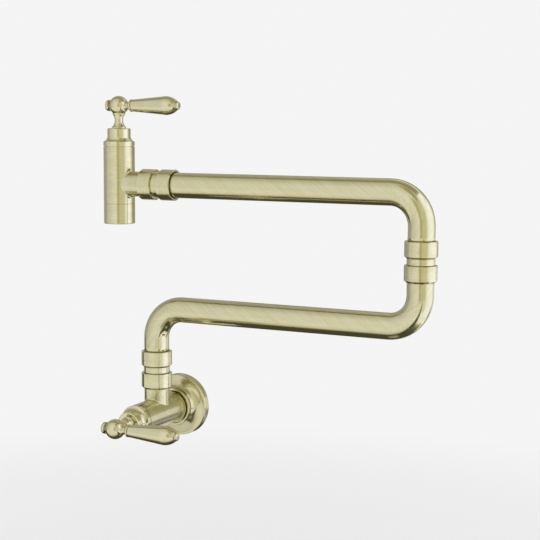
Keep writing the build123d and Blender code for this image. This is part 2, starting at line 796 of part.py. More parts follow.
def flange_o_ring():
    """Ring on the shank that grips the flange."""
    inner = shank_r - flange_ring_depth + ring_fit
    return seal_ring(inner, shank_r + loose_fit - ring_fit, flange_ring_out, flange_ring_w)


def inlet_nipple():
    """Threaded nipple from the valve into the pipe in the wall, with a key hole through it."""
    start = shank_out + inlet_depth
    screw = inlet_thread_r
    waist = screw - inlet_relief_depth
    lead = 1.5 * end_break
    rod = turned_points(
        (0, -inlet_past_wall), (screw - 2 * lead, -inlet_past_wall),
        (screw, 2 * lead - inlet_past_wall), (screw, -inlet_relief_w), (waist, -inlet_relief_w),
        (waist, 0), (screw, 0), (screw, start - lead), (screw - lead, start), (0, start),
    )
    key = Pos(0, 0, -inlet_past_wall - 1) * hexagon(inlet_key, start + inlet_past_wall + 2)
    return rod - key


# ---------------------------------------------------------------- outlet, height from the stub
def outlet_tip():
    """Outlet sleeve screwed under the spout body, bored for the flow former."""
    screw_top = seat_h - seat_web - outlet_washer_t
    return turned(
        Polyline(
            (outlet_bore_r, screw_top), (outlet_screw_r, screw_top),
            (outlet_screw_r, outlet_joint_h), (body_r - body_edge, outlet_joint_h),
            (body_r, outlet_joint_h - body_edge), (body_r, outlet_end_h + outlet_round),
        ),
        TangentArc(
            (body_r, outlet_end_h + outlet_round), (body_r - outlet_round, outlet_end_h),
            tangent=(0, -1),
        ),
        Polyline(
            (body_r - outlet_round, outlet_end_h), (aerator_r + running_fit, outlet_end_h),
            (aerator_r + running_fit, aerator_seat_h), (outlet_bore_r, aerator_seat_h),
            (outlet_bore_r, screw_top),
        ),
    )


def outlet_washer():
    top = seat_h - seat_web
    return tube(outlet_washer_bore, outlet_screw_r - running_fit, top - outlet_washer_t, top)


def aerator_washer():
    bore = min(aerator_washer_bore, outlet_bore_r)
    low = aerator_seat_h - aerator_washer_t
    return tube(bore, aerator_r - running_fit, low, aerator_seat_h)


def aerator_insert():
    """Flow former: a plug with straight holes on a hexagonal pattern."""
    top = aerator_seat_h - aerator_washer_t
    low = outlet_end_h + aerator_recess
    plug = tube(0, aerator_r, low, top)
    holes = [
        loc for loc in HexLocations(aerator_pitch / 2, 2 * aerator_rings + 1, 2 * aerator_rings + 1)
        if loc.position.length < aerator_pitch * (aerator_rings + 0.2)
    ]
    drill = extrude(Circle(aerator_hole_r), 2 * (top - low))
    return plug - [Pos(*loc.position) * Pos(0, 0, low - (top - low) / 2) * drill for loc in holes]


# ---------------------------------------------------------------- assembly
def add_valve(nodes, name, place, screw_side):
    """Bonnet, cartridge and lever handle of one valve."""
    nodes[name + "_bonnet"] = place * bonnet()
    nodes[name + "_cartridge_housing"] = place * cartridge_housing()
    nodes[name + "_cartridge_o_ring"] = place * cartridge_o_ring()
    nodes[name + "_cartridge_seal"] = place * cartridge_seal()
    nodes[name + "_fixed_disc"] = place * fixed_disc()
    nodes[name + "_moving_disc"] = place * moving_disc()
    nodes[name + "_spindle"] = place * spindle(screw_side)
    nodes[name + "_spindle_o_ring"] = place * spindle_o_ring()
    nodes[name + "_handle_stem"] = place * handle_stem()
    nodes[name + "_handle_hub"] = place * handle_hub(screw_side)
    nodes[name + "_handle_lever"] = place * handle_lever()
    nodes[name + "_handle_tip"] = place * handle_tip()
    nodes[name + "_handle_finial"] = place * handle_finial()
    nodes[name + "_grub_screw"] = place * grub_screw(screw_side)


def add_swivel(nodes, name, place):
    """Socket, washer, spigot, rings, clip and collar of one swivel."""
    nodes[name + "_socket"] = place * swivel_socket()
    nodes[name + "_washer"] = place * swivel_washer()
    nodes[name + "_spigot"] = place * swivel_spigot()
    nodes[name + "_o_rings"] = place * swivel_rings()
    nodes[name + "_clip"] = place * swivel_clip()
    nodes[name + "_collar"] = place * upper_collar()


def build():
    nodes = {}
    wall = Plane(origin=(0, 0, 0), x_dir=(1, 0, 0), z_dir=(0, -1, 0))
    nodes["wall_flange"] = wall * wall_flange()
    nodes["flange_gasket"] = wall * flange_gasket()
    nodes["flange_o_ring"] = wall * flange_o_ring()
    nodes["inlet_nipple"] = wall * inlet_nipple()
    nodes["base_valve_body"] = base_valve * base_valve_body()
    add_valve(nodes, "base", base_valve, -1)
    add_swivel(nodes, "base_swivel", base_swivel)
    nodes["lower_arm_tube"] = lower_arm_tube()
    add_swivel(nodes, "elbow", elbow_swivel)
    nodes["upper_arm_tube"] = upper_arm_tube()
    nodes["union_arm_collar"] = spout_union * upper_collar()
    nodes["union_nipple"] = spout_union * union_nipple()
    nodes["union_washers"] = spout_union * union_washers()
    nodes["union_spout_collar"] = spout_union * union_spout_collar()
    nodes["spout_body"] = spout_valve * spout_body()
    add_valve(nodes, "spout", spout_valve, 1)
    nodes["outlet_tip"] = spout_valve * outlet_tip()
    nodes["outlet_washer"] = spout_valve * outlet_washer()
    nodes["aerator_insert"] = spout_valve * aerator_insert()
    nodes["aerator_washer"] = spout_valve * aerator_washer()
    return nodes


def write(nodes):
    os.makedirs("parts", exist_ok=True)
    for name, shape in nodes.items():
        shape.label = name
        export_step(shape, f"parts/{name}.step")
        print(name, len(shape.solids()), round(shape.volume, 1))


write(build())
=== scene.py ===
import json
from math import atan2, copysign, cos, hypot, pi, radians, sin, tan

import bmesh
import bpy
from mathutils import Matrix, Vector


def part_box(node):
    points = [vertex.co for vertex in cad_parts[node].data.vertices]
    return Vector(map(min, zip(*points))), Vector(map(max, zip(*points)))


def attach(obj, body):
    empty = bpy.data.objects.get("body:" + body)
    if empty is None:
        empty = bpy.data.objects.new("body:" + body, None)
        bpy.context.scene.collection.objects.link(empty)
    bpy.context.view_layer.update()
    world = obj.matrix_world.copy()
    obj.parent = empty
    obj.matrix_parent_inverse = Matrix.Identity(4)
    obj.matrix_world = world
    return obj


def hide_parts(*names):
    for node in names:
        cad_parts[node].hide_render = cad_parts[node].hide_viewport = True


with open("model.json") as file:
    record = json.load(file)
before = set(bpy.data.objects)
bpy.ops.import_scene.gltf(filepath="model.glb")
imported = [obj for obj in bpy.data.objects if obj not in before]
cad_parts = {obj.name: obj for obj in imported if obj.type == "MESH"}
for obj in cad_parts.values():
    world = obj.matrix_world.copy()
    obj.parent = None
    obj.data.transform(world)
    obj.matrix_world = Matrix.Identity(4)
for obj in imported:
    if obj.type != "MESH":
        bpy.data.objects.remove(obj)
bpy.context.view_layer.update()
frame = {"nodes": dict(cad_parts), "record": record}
nodes = frame["nodes"]
slotOf = {part["node"]: part["material_slot"] for part in frame["record"]["subparts"]}
scene = bpy.context.scene
mm = 0.001
print("frame loaded:", len(nodes), "pieces")


# camera, standing where the photograph was taken from
cameraView = {
    "place": (0.6638, -1.1629, 0.2959),
    "turn": (83.400, -0.348, 25.839),  # degrees
    "lens": 86.4,
    "sensor": 36.0,
}

camera = bpy.data.objects.new("camera", bpy.data.cameras.new("camera"))
scene.collection.objects.link(camera)
camera.location = cameraView["place"]
camera.rotation_euler = [radians(angle) for angle in cameraView["turn"]]
camera.data.lens = cameraView["lens"]
camera.data.sensor_width = cameraView["sensor"]
scene.camera = camera
scene.view_settings.view_transform = "Standard"


# small helpers for shader trees
def plug(tree, socket, value):
    if isinstance(value, bpy.types.NodeSocket):
        tree.links.new(value, socket)
    else:
        socket.default_value = value


def addNode(tree, kind, inputs=None, **settings):
    node = tree.nodes.new(kind)
    for key, value in settings.items():
        setattr(node, key, value)
    for key, value in (inputs or {}).items():
        plug(tree, node.inputs[key], value)
    return node


def calc(tree, operation, *values):
    return addNode(tree, "ShaderNodeMath", dict(enumerate(values)), operation=operation).outputs[0]


def vectorCalc(tree, operation, *values, out="Vector", factor=None):
    node = addNode(tree, "ShaderNodeVectorMath", dict(enumerate(values)), operation=operation)
    if factor is not None:
        plug(tree, node.inputs["Scale"], factor)
    return node.outputs[out]


def remap(tree, value, low, high, newLow=0.0, newHigh=1.0):
    inputs = {"Value": value, "From Min": low, "From Max": high, "To Min": newLow, "To Max": newHigh}
    return addNode(tree, "ShaderNodeMapRange", inputs).outputs["Result"]


# where a mix node keeps its two inputs and its result, by kind of value
mixSockets = {"FLOAT": (2, 3, 0), "RGBA": (6, 7, 2)}


def blend(tree, kind, share, first, second):
    one, two, result = mixSockets[kind]
    inputs = {0: share, one: first, two: second}
    return addNode(tree, "ShaderNodeMix", inputs, data_type=kind).outputs[result]


def noise(tree, place, scale, detail, w=None):
    inputs = {"Vector": place, "Scale": scale, "Detail": detail}
    if w is None:
        return addNode(tree, "ShaderNodeTexNoise", inputs).outputs[0]
    inputs["W"] = w
    return addNode(tree, "ShaderNodeTexNoise", inputs, noise_dimensions="4D").outputs[0]


def combine(tree, x, y, z):
    return addNode(tree, "ShaderNodeCombineXYZ", {0: x, 1: y, 2: z}).outputs[0]


def newGroup(name, inputs, outputs):
    group = bpy.data.node_groups.new(name, "ShaderNodeTree")
    for side, sockets in (("INPUT", inputs), ("OUTPUT", outputs)):
        for label, kind in sockets.items():
            group.interface.new_socket(label, in_out=side, socket_type="NodeSocket" + kind)
    return group, addNode(group, "NodeGroupInput").outputs, addNode(group, "NodeGroupOutput")


def placeGroup(tree, group, inputs):
    node = addNode(tree, "ShaderNodeGroup", node_tree=group)
    for key, value in inputs.items():
        plug(tree, node.inputs[key], value)
    return node.outputs


def newMaterial(name):
    material = bpy.data.materials.new(name)
    material.use_nodes = True
    tree = material.node_tree
    return material, tree, tree.nodes["Principled BSDF"]


def rgba(colour):
    return (*colour, 1.0)


def grey(level):
    return (level, level, level)


# studio: two soft lamps, a pale floor and world, and cards that only shiny surfaces see
studio = {
    "middle": (0.13, -0.05),
    "floorHeight": -0.30,
    "floorSize": 7.0,
    "floorColour": grey(0.93),
    "floorRoughness": 0.8,
    "floorSides": 96,
    "floorFade": (0.35, 1.2),  # metres out, where the floor runs into the background
    "pale": 0.91,  # background level, 1 is white
    "fill": 0.72,  # level of the world's own light on the object
    "cardGain": 2.0,  # card tones are stored as shares of this
}

lamps = {
    "lampLeft": {"azimuth": -42, "away": 1.6, "size": (2.4, 2.0), "height": 0.9, "level": 0.75},
    "lampRight": {"azimuth": 95, "away": 1.4, "size": (1.6, 2.0), "height": 0.9, "level": 0.75},
}

# azimuth in degrees from the wall's outward normal, growing towards the elbow
uprightCards = {
    "cardLeft": {"away": 1.7, "low": -0.29, "high": 1.45, "tones": (
        (-92, grey(0.50)), (-76, grey(0.57)), (-66, grey(0.78)), (-45, grey(0.84)),
        (-30, grey(0.94)), (-6, grey(1.02)), (14, grey(1.00)),
    )},
    "cardCamera": {"away": 1.9, "low": -0.28, "high": 1.45, "tones": (
        (9, (0.74, 0.72, 0.52)), (15, (0.68, 0.66, 0.46)), (18, (0.52, 0.50, 0.32)),
        (21, (0.52, 0.50, 0.32)), (24, (0.70, 0.68, 0.47)), (34, (0.78, 0.76, 0.55)),
        (50, (0.80, 0.78, 0.60)), (62, (0.81, 0.79, 0.66)), (74, (0.86, 0.85, 0.77)),
    )},
    "cardRight": {"away": 0.61, "low": -0.28, "high": 0.95, "tones": (
        (67, (0.90, 0.89, 0.83)), (74, (1.13, 1.13, 1.24)), (83, (1.28, 1.29, 1.50)),
        (93, (1.34, 1.36, 1.63)), (106, (1.38, 1.40, 1.68)), (119, (1.38, 1.40, 1.68)),
        (131, (1.22, 1.22, 1.44)),
    )},
    "cardRear": {"away": 0.72, "low": -0.27, "high": 1.35, "tones": (
        (115, (1.08, 1.08, 1.24)), (132, (0.99, 0.99, 1.06)), (145, (0.95, 0.95, 1.00)),
        (162, grey(0.87)), (180, grey(0.78)),
        (200, grey(0.60)), (222, grey(0.46)), (250, grey(0.46)), (268, grey(0.50)),
    )},
    "cardShade": {"away": 0.67, "low": -0.27, "high": 0.12, "tones": (
        (190, grey(0.11)), (222, grey(0.11)),
    )},
    "cardDusk": {"away": 0.65, "low": 0.10, "high": 0.70, "tones": (
        (146, (0.62, 0.60, 0.46)), (157, (0.46, 0.44, 0.30)), (172, (0.40, 0.38, 0.24)),
        (186, (0.46, 0.44, 0.30)), (214, (0.40, 0.39, 0.30)),
    )},
    "cardSkirt": {"away": 0.65, "low": -0.27, "high": -0.19, "tones": (
        (146, (0.46, 0.45, 0.38)), (158, (0.36, 0.35, 0.29)), (185, (0.34, 0.33, 0.27)),
    )},
}

# tones run from the start point, in metres along the heading, which is an azimuth too
levelCards = {
    "cardCeiling": {"height": 1.50, "reach": 3.0, "start": (0.13, 0.0), "heading": 180, "tones": (
        (-2.6, grey(1.00)), (-1.7, grey(0.94)), (-0.72, grey(0.78)), (-0.20, (0.66, 0.65, 0.52)),
        (-0.02, (0.37, 0.33, 0.15)), (0.26, (0.37, 0.34, 0.17)), (0.34, grey(0.44)), (2.4, grey(0.46)),
    )},
    "cardCanopy": {"height": 1.47, "reach": 0.30, "start": (0.13, -0.05), "heading": 42, "tones": (
        (0.30, (0.52, 0.50, 0.29)), (0.80, (0.45, 0.43, 0.24)), (1.40, (0.54, 0.52, 0.32)),
        (1.95, (0.70, 0.68, 0.47)),
    )},
    "cardFloor": {"height": -0.295, "reach": 3.0, "start": (0.13, 0.0), "heading": 180, "tones": (
        (-2.6, grey(0.98)), (-0.80, grey(1.00)), (-0.50, grey(0.96)), (-0.31, (0.84, 0.83, 0.76)),
        (-0.225, (0.45, 0.43, 0.32)), (-0.175, (0.09, 0.085, 0.05)), (0.40, (0.08, 0.075, 0.045)),
        (2.2, (0.20, 0.20, 0.18)),
    )},
    "cardRug": {"height": -0.284, "reach": 0.095, "start": (0.26, -0.05), "heading": 40, "tones": (
        (0.05, (0.07, 0.065, 0.035)), (0.32, (0.12, 0.11, 0.05)), (0.60, (0.22, 0.20, 0.09)),
        (1.00, (0.38, 0.36, 0.19)), (1.75, (0.56, 0.54, 0.34)),
    )},
    "cardSill": {"height": -0.287, "reach": 0.62, "start": (0.26, -0.10), "heading": 90, "tones": (
        (0.10, (0.95, 0.94, 0.92)), (0.26, (1.20, 1.20, 1.34)), (0.55, (1.30, 1.30, 1.50)),
    )},
    "cardMat": {"height": -0.283, "reach": 0.095, "start": (0.14, -0.005), "heading": 90, "tones": (
        (0.0, grey(0.26)), (0.03, grey(0.36)), (0.095, grey(0.40)),
    )},
    "cardStep": {"height": -0.10, "reach": 0.11, "start": (0.30, -0.01), "heading": 90, "tones": (
        (0.0, grey(0.09)), (0.06, (0.14, 0.13, 0.09)), (0.09, (0.38, 0.37, 0.28)),
        (0.12, (0.70, 0.69, 0.60)),
    )},
    "cardBounce": {"height": -0.040, "reach": 0.025, "start": (-0.006, 0.015), "heading": 0, "tones": (
        (0.0, grey(0.72)), (0.03, grey(0.80)), (0.055, grey(0.70)),
    )},
    "cardBehind": {"height": -0.285, "reach": 0.35, "start": (0.37, 0.0), "heading": 180, "tones": (
        (0.42, grey(0.66)), (0.48, grey(0.60)), (0.56, grey(0.26)), (1.0, grey(0.34)),
    )},
}


def fromMiddle(azimuth, away, height):
    x, y = studio["middle"]
    angle = radians(azimuth)
    return Vector((x + away * sin(angle), y - away * cos(angle), height))


def addLamp(name, lamp):
    light = bpy.data.lights.new(name, "AREA")
    light.shape = "RECTANGLE"
    light.size, light.size_y = lamp["size"]
    light.energy = lamp["level"] * pi * light.size * light.size_y
    lampObject = bpy.data.objects.new(name, light)
    scene.collection.objects.link(lampObject)
    lampObject.location = fromMiddle(lamp["azimuth"], lamp["away"], lamp["height"])
    lampObject.rotation_euler = (radians(90), 0, radians(lamp["azimuth"]))
    lampObject.visible_camera = False
    lampObject.visible_glossy = False


def addCard(name, place, size, along, tones):
    bm = bmesh.new()
    bmesh.ops.create_grid(bm, x_segments=1, y_segments=1, size=0.5)
    bmesh.ops.scale(bm, vec=(*size, 1), verts=bm.verts)
    card = bpy.data.objects.new(name, bpy.data.meshes.new(name))
    bm.to_mesh(card.data)
    bm.free()
    scene.collection.objects.link(card)
    card.matrix_world = place
    material, tree, shader = newMaterial(name)
    tree.nodes.remove(shader)
    corner = addNode(tree, "ShaderNodeTexCoord").outputs["Object"]
    position = addNode(tree, "ShaderNodeSeparateXYZ", {0: corner}).outputs[along]
    half = size[along] / 2
    ramp = addNode(tree, "ShaderNodeValToRGB", {0: remap(tree, position, -half, half)})
    stops = ramp.color_ramp.elements  # two to begin with
    for index, (share, tone) in enumerate(tones):
        stop = stops[index] if index < 2 else stops.new(share)
        stop.position = share
        stop.color = rgba([level / studio["cardGain"] for level in tone])
    glow = addNode(tree, "ShaderNodeEmission", {"Color": ramp.outputs[0], "Strength": studio["cardGain"]})
    tree.links.new(glow.outputs[0], tree.nodes["Material Output"].inputs[0])
    card.data.materials.append(material)
    card.visible_camera = False
    card.visible_diffuse = False
    card.visible_shadow = False
    card.visible_transmission = False


def addUprightCard(name, card):
    first, last = card["tones"][0][0], card["tones"][-1][0]
    facing = (first + last) / 2
    half = card["away"] * tan(radians(last - first) / 2)
    place = Matrix.Translation(fromMiddle(facing, card["away"], (card["low"] + card["high"]) / 2))
    place = place @ Matrix.Rotation(radians(facing), 4, "Z") @ Matrix.Rotation(radians(90), 4, "X")
    tones = [
        (0.5 + card["away"] * tan(radians(azimuth - facing)) / (2 * half), tone)
        for azimuth, tone in card["tones"]
    ]
    addCard(name, place, (2 * half, card["high"] - card["low"]), 0, tones)


def addLevelCard(name, card):
    first, last = card["tones"][0][0], card["tones"][-1][0]
    place = Matrix.Translation((*card["start"], card["height"]))
    place = place @ Matrix.Rotation(radians(card["heading"] + 180), 4, "Z")
    place = place @ Matrix.Translation((0, (first + last) / 2, 0))
    tones = [((away - first) / (last - first), tone) for away, tone in card["tones"]]
    addCard(name, place, (2 * card["reach"], last - first), 1, tones)


def addWorld():
    world = bpy.data.worlds.new("studioWorld")
    scene.world = world
    world.use_nodes = True
    tree = world.node_tree
    path = addNode(tree, "ShaderNodeLightPath").outputs
    seen = calc(tree, "MAXIMUM", path["Is Camera Ray"], path["Is Glossy Ray"])
    seen = calc(tree, "MAXIMUM", seen, path["Is Transmission Ray"])
    level = remap(tree, seen, 0, 1, studio["fill"], studio["pale"])
    tree.links.new(level, tree.nodes["Background"].inputs["Strength"])
    tree.nodes["Background"].inputs["Color"].default_value = rgba(grey(1.0))


def addFloor():
    bm = bmesh.new()
    bmesh.ops.create_circle(bm, cap_ends=True, segments=studio["floorSides"], radius=studio["floorSize"])
    bmesh.ops.translate(bm, vec=(0, 0, studio["floorHeight"]), verts=bm.verts)
    floor = bpy.data.objects.new("floor", bpy.data.meshes.new("floor"))
    bm.to_mesh(floor.data)
    bm.free()
    scene.collection.objects.link(floor)
    material, tree, shader = newMaterial("paleFloor")
    shader.inputs["Base Color"].default_value = rgba(studio["floorColour"])
    shader.inputs["Roughness"].default_value = studio["floorRoughness"]
    place = addNode(tree, "ShaderNodeTexCoord").outputs["Object"]
    out = vectorCalc(tree, "LENGTH", place, out="Value")
    fade = remap(tree, out, *studio["floorFade"])
    glow = addNode(tree, "ShaderNodeEmission", {"Color": rgba(grey(studio["pale"]))})
    mix = addNode(tree, "ShaderNodeMixShader", {0: fade, 1: shader.outputs[0], 2: glow.outputs[0]})
    tree.links.new(mix.outputs[0], tree.nodes["Material Output"].inputs[0])
    floor.data.materials.append(material)


for name, lamp in lamps.items():
    addLamp(name, lamp)
for name, card in uprightCards.items():
    addUprightCard(name, card)
for name, card in levelCards.items():
    addLevelCard(name, card)
addWorld()
addFloor()
print("studio ready")


# lines left by turning or brushing a piece round its own axis
turnedLines = {
    "detail": 3.0,
    "broadDetail": 2.0,
    "broadScale": 0.21,  # slow drift of tone against the fine lines
}


def turnedGrainGroup():
    group, given, result = newGroup(
        "turnedGrain",
        {"Position": "Vector", "Axis Point": "Vector", "Axis": "Vector",
         "Lines": "Float", "Streak": "Float"},
        {"Height": "Float", "Broad": "Float"},
    )
    offset = vectorCalc(group, "SUBTRACT", given["Position"], given["Axis Point"])
    along = vectorCalc(group, "DOT_PRODUCT", offset, given["Axis"], out="Value")
    outward = vectorCalc(group, "SUBTRACT", offset, vectorCalc(group, "SCALE", given["Axis"], factor=along))
    radius = vectorCalc(group, "LENGTH", outward, out="Value")
    around = vectorCalc(group, "SCALE", vectorCalc(group, "NORMALIZE", outward), factor=given["Streak"])
    steps = calc(group, "MULTIPLY", along, given["Lines"])
    place = vectorCalc(group, "ADD", around, vectorCalc(group, "SCALE", given["Axis"], factor=steps))
    rings = calc(group, "MULTIPLY", radius, given["Lines"])
    fine = noise(group, place, 1.0, turnedLines["detail"], rings)
    slow = vectorCalc(group, "SCALE", place, factor=turnedLines["broadScale"])
    slowRings = calc(group, "MULTIPLY", rings, turnedLines["broadScale"])
    broad = noise(group, slow, 1.0, turnedLines["broadDetail"], slowRings)
    group.links.new(fine, result.inputs["Height"])
    group.links.new(broad, result.inputs["Broad"])
    return group


# brushing of the bent pipes: slanting on the straight runs, round the pipe in the bends
pipeLines = {
    "detail": 3.0,
    "broadDetail": 2.0,
    "broadScale": 0.3,
    "ringStrands": 3.0,
    "ringShare": (0.25, 0.9),  # on a straight run, in a bend
}


def pipeGrainGroup():
    group, given, result = newGroup(
        "pipeGrain",
        dict.fromkeys(("Along", "Around", "Bend", "Twist", "Strands", "Run", "Lines"), "Float"),
        {"Height": "Float", "Broad": "Float"},
    )
    angle = calc(group, "MULTIPLY", given["Around"], 2 * pi)
    slant = calc(group, "ADD", angle, calc(group, "MULTIPLY", given["Along"], given["Twist"]))
    slantX = calc(group, "MULTIPLY", calc(group, "COSINE", slant), given["Strands"])
    slantY = calc(group, "MULTIPLY", calc(group, "SINE", slant), given["Strands"])
    strand = combine(group, slantX, slantY, calc(group, "MULTIPLY", given["Along"], given["Run"]))
    brushed = noise(group, strand, 1.0, pipeLines["detail"])
    ringX = calc(group, "MULTIPLY", calc(group, "COSINE", angle), pipeLines["ringStrands"])
    ringY = calc(group, "MULTIPLY", calc(group, "SINE", angle), pipeLines["ringStrands"])
    ring = combine(group, ringX, ringY, calc(group, "MULTIPLY", given["Along"], given["Lines"]))
    hatched = noise(group, ring, 1.0, pipeLines["detail"])
    ringShare = remap(group, given["Bend"], 0, 1, *pipeLines["ringShare"])
    height = blend(group, "FLOAT", ringShare, brushed, hatched)
    slow = vectorCalc(group, "SCALE", strand, factor=pipeLines["broadScale"])
    broad = noise(group, slow, 1.0, pipeLines["broadDetail"])
    group.links.new(height, result.inputs["Height"])
    group.links.new(broad, result.inputs["Broad"])
    return group


# painted shade, with some tarnish, in recesses, a painted highlight along rounded edges, and a slow drift
# of tone over a metal
toneAndPaintedLight = {
    # the recess darkening below is painted shade, with some tarnish
    "shadeAndTarnishReach": 2.0 * mm,
    "shadeAndTarnishSamples": 8,
    "shadeAndTarnish": (0.60, 0.12),  # openness at which a recess starts to darken, and is darkest
    "shadeAndTarnishShare": 0.85,
    "shadeAndTarnishRough": 0.2,
    # the edge lightening below is a painted highlight
    "highlightRadius": 0.4 * mm,
    "highlightSamples": 4,
    "edge": (0.985, 0.85),  # how far the rounded normal agrees with the plain one
    "highlightShare": 0.55,
    "broad": (0.35, 0.7),
    "lines": (0.35, 0.65),
    "roughLines": (0.3, 0.7),
    "roughShift": (-0.03, 0.05),
}


def metalToneAndPaintedLightGroup():
    group, given, result = newGroup(
        "metalToneAndPaintedLight",
        {**dict.fromkeys(("Height", "Broad", "Roughness", "Drift"), "Float"),
         **dict.fromkeys(("Colour", "Dull", "Bright", "ShadeTarnish"), "Color")},
        {"Colour": "Color", "Roughness": "Float"},
    )
    reach = {"Distance": toneAndPaintedLight["shadeAndTarnishReach"]}
    # painted shade, with some tarnish: the colour darkens where the occlusion probe finds a recess
    crevice = addNode(group, "ShaderNodeAmbientOcclusion", reach, samples=toneAndPaintedLight["shadeAndTarnishSamples"])
    shadeAndTarnish = remap(group, crevice.outputs["AO"], *toneAndPaintedLight["shadeAndTarnish"], 0.0, toneAndPaintedLight["shadeAndTarnishShare"])
    # painted highlight: the colour lightens along edges, where the rounded normal turns away from the plain
    # one
    radius = {"Radius": toneAndPaintedLight["highlightRadius"]}
    rounded = addNode(group, "ShaderNodeBevel", radius, samples=toneAndPaintedLight["highlightSamples"]).outputs[0]
    plain = addNode(group, "ShaderNodeNewGeometry").outputs["Normal"]
    same = vectorCalc(group, "DOT_PRODUCT", rounded, plain, out="Value")
    edge = remap(group, same, *toneAndPaintedLight["edge"], 0.0, toneAndPaintedLight["highlightShare"])
    drift = calc(group, "MULTIPLY", remap(group, given["Broad"], *toneAndPaintedLight["broad"]), given["Drift"])
    lines = calc(group, "MULTIPLY", remap(group, given["Height"], *toneAndPaintedLight["lines"]), given["Drift"])
    tone = blend(group, "RGBA", calc(group, "ADD", drift, lines), given["Colour"], given["Dull"])
    tone = blend(group, "RGBA", shadeAndTarnish, tone, given["ShadeTarnish"])
    tone = blend(group, "RGBA", edge, tone, given["Bright"])
    rough = remap(group, given["Height"], *toneAndPaintedLight["roughLines"], *toneAndPaintedLight["roughShift"])
    rough = calc(group, "ADD", given["Roughness"], rough)
    rough = calc(group, "ADD", rough, calc(group, "MULTIPLY", shadeAndTarnish, toneAndPaintedLight["shadeAndTarnishRough"]))
    group.links.new(tone, result.inputs["Colour"])
    group.links.new(rough, result.inputs["Roughness"])
    return group


# even speckle and slow blotches, for moulded, foamed and fired pieces
speckling = {
    "detail": 2.0,
    "grain": (0.4, 0.7),
    "grainShare": 0.6,
    "blotchDetail": 3.0,
    "blotch": (0.35, 0.65),
    "blotchShare": 0.4,
    "roughGrain": (0.3, 0.7),
    "roughSpread": 0.06,
}


def speckleGroup():
    group, given, result = newGroup(
        "speckle",
        {"Position": "Vector", "Grain": "Float", "Blotch": "Float",
         "Colour": "Color", "Other": "Color", "Contrast": "Float"},
        {"Height": "Float", "Colour": "Color"},
    )
    fine = vectorCalc(group, "SCALE", given["Position"], factor=given["Grain"])
    slow = vectorCalc(group, "SCALE", given["Position"], factor=given["Blotch"])
    grain = noise(group, fine, 1.0, speckling["detail"])
    blotch = noise(group, slow, 1.0, speckling["blotchDetail"])
    grainShare = remap(group, grain, *speckling["grain"], 0, speckling["grainShare"])
    blotchShare = remap(group, blotch, *speckling["blotch"], 0, speckling["blotchShare"])
    share = calc(group, "MULTIPLY", calc(group, "ADD", grainShare, blotchShare), given["Contrast"])
    tone = blend(group, "RGBA", share, given["Colour"], given["Other"])
    group.links.new(grain, result.inputs["Height"])
    group.links.new(tone, result.inputs["Colour"])
    return group


turnedGrain = turnedGrainGroup()
pipeGrain = pipeGrainGroup()
metalToneAndPaintedLight = metalToneAndPaintedLightGroup()
speckle = speckleGroup()


# the darkest colour of each metal is painted into recesses as shade with some tarnish, and the lightest
# along rounded edges as a painted highlight
metals = {
    "satin_brass": {
        "colour": (0.69, 0.655, 0.435), "dull": (0.47, 0.43, 0.21), "paintedHighlight": (0.82, 0.80, 0.62),
        "shadeTarnishColour": (0.15, 0.13, 0.05), "roughness": 0.125, "drift": 0.24, "lines": 800.0, "streak": 3.0,
        "bump": 0.20,
    },
    "raw_brass": {
        "colour": (0.78, 0.61, 0.31), "dull": (0.42, 0.28, 0.12), "paintedHighlight": (0.90, 0.76, 0.48),
        "shadeTarnishColour": (0.16, 0.10, 0.04), "roughness": 0.30, "drift": 0.30, "lines": 2600.0, "streak": 2.0,
        "bump": 0.25,
    },
    "stainless": {
        "colour": (0.61, 0.61, 0.60), "dull": (0.36, 0.35, 0.34), "paintedHighlight": (0.78, 0.78, 0.77),
        "shadeTarnishColour": (0.12, 0.12, 0.11), "roughness": 0.28, "drift": 0.22, "lines": 3200.0, "streak": 4.0,
        "bump": 0.18,
    },
}
# the same brass, polished on the small turned pieces and more matt on the cast ones
metals["soft_brass"] = {**metals["satin_brass"], "roughness": 0.09, "drift": 0.08, "bump": 0.05}
metals["wide_brass"] = {**metals["satin_brass"], "roughness": 0.20}
brassKinds = {
    "soft_brass": ("base_bonnet", "spout_bonnet", "base_handle_", "spout_handle_"),
    "wide_brass": ("wall_flange", "base_valve_body"),
}
grainDepth = 0.1 * mm


def finishMetal(tree, shader, look, grain):
    toned = placeGroup(tree, metalToneAndPaintedLight, {
        "Height": grain["Height"], "Broad": grain["Broad"], "Colour": rgba(look["colour"]),
        "Dull": rgba(look["dull"]), "Bright": rgba(look["paintedHighlight"]), "ShadeTarnish": rgba(look["shadeTarnishColour"]),
        "Roughness": look["roughness"], "Drift": look["drift"],
    })
    bump = addNode(tree, "ShaderNodeBump", {
        "Strength": look["bump"], "Distance": grainDepth, "Height": grain["Height"],
    })
    plug(tree, shader.inputs["Base Color"], toned["Colour"])
    plug(tree, shader.inputs["Roughness"], toned["Roughness"])
    plug(tree, shader.inputs["Normal"], bump.outputs[0])
    shader.inputs["Metallic"].default_value = 1.0


def turnedMaterial(name, look, axisPoint, axis):
    material, tree, shader = newMaterial(name)
    grain = placeGroup(tree, turnedGrain, {
        "Position": addNode(tree, "ShaderNodeTexCoord").outputs["Object"], "Axis Point": axisPoint,
        "Axis": axis, "Lines": look["lines"], "Streak": look["streak"],
    })
    finishMetal(tree, shader, look, grain)
    return material


def pipeMaterial(name, look):
    material, tree, shader = newMaterial(name)
    place = addNode(tree, "ShaderNodeUVMap", uv_map="pipe").outputs[0]
    spread = addNode(tree, "ShaderNodeSeparateXYZ", {0: place}).outputs
    bend = addNode(tree, "ShaderNodeAttribute", attribute_name="bend").outputs["Fac"]
    grain = placeGroup(tree, pipeGrain, {
        "Along": spread[0], "Around": spread[1], "Bend": bend, "Twist": look["twist"],
        "Strands": look["strands"], "Run": look["run"], "Lines": look["lines"],
    })
    finishMetal(tree, shader, look, grain)
    return material


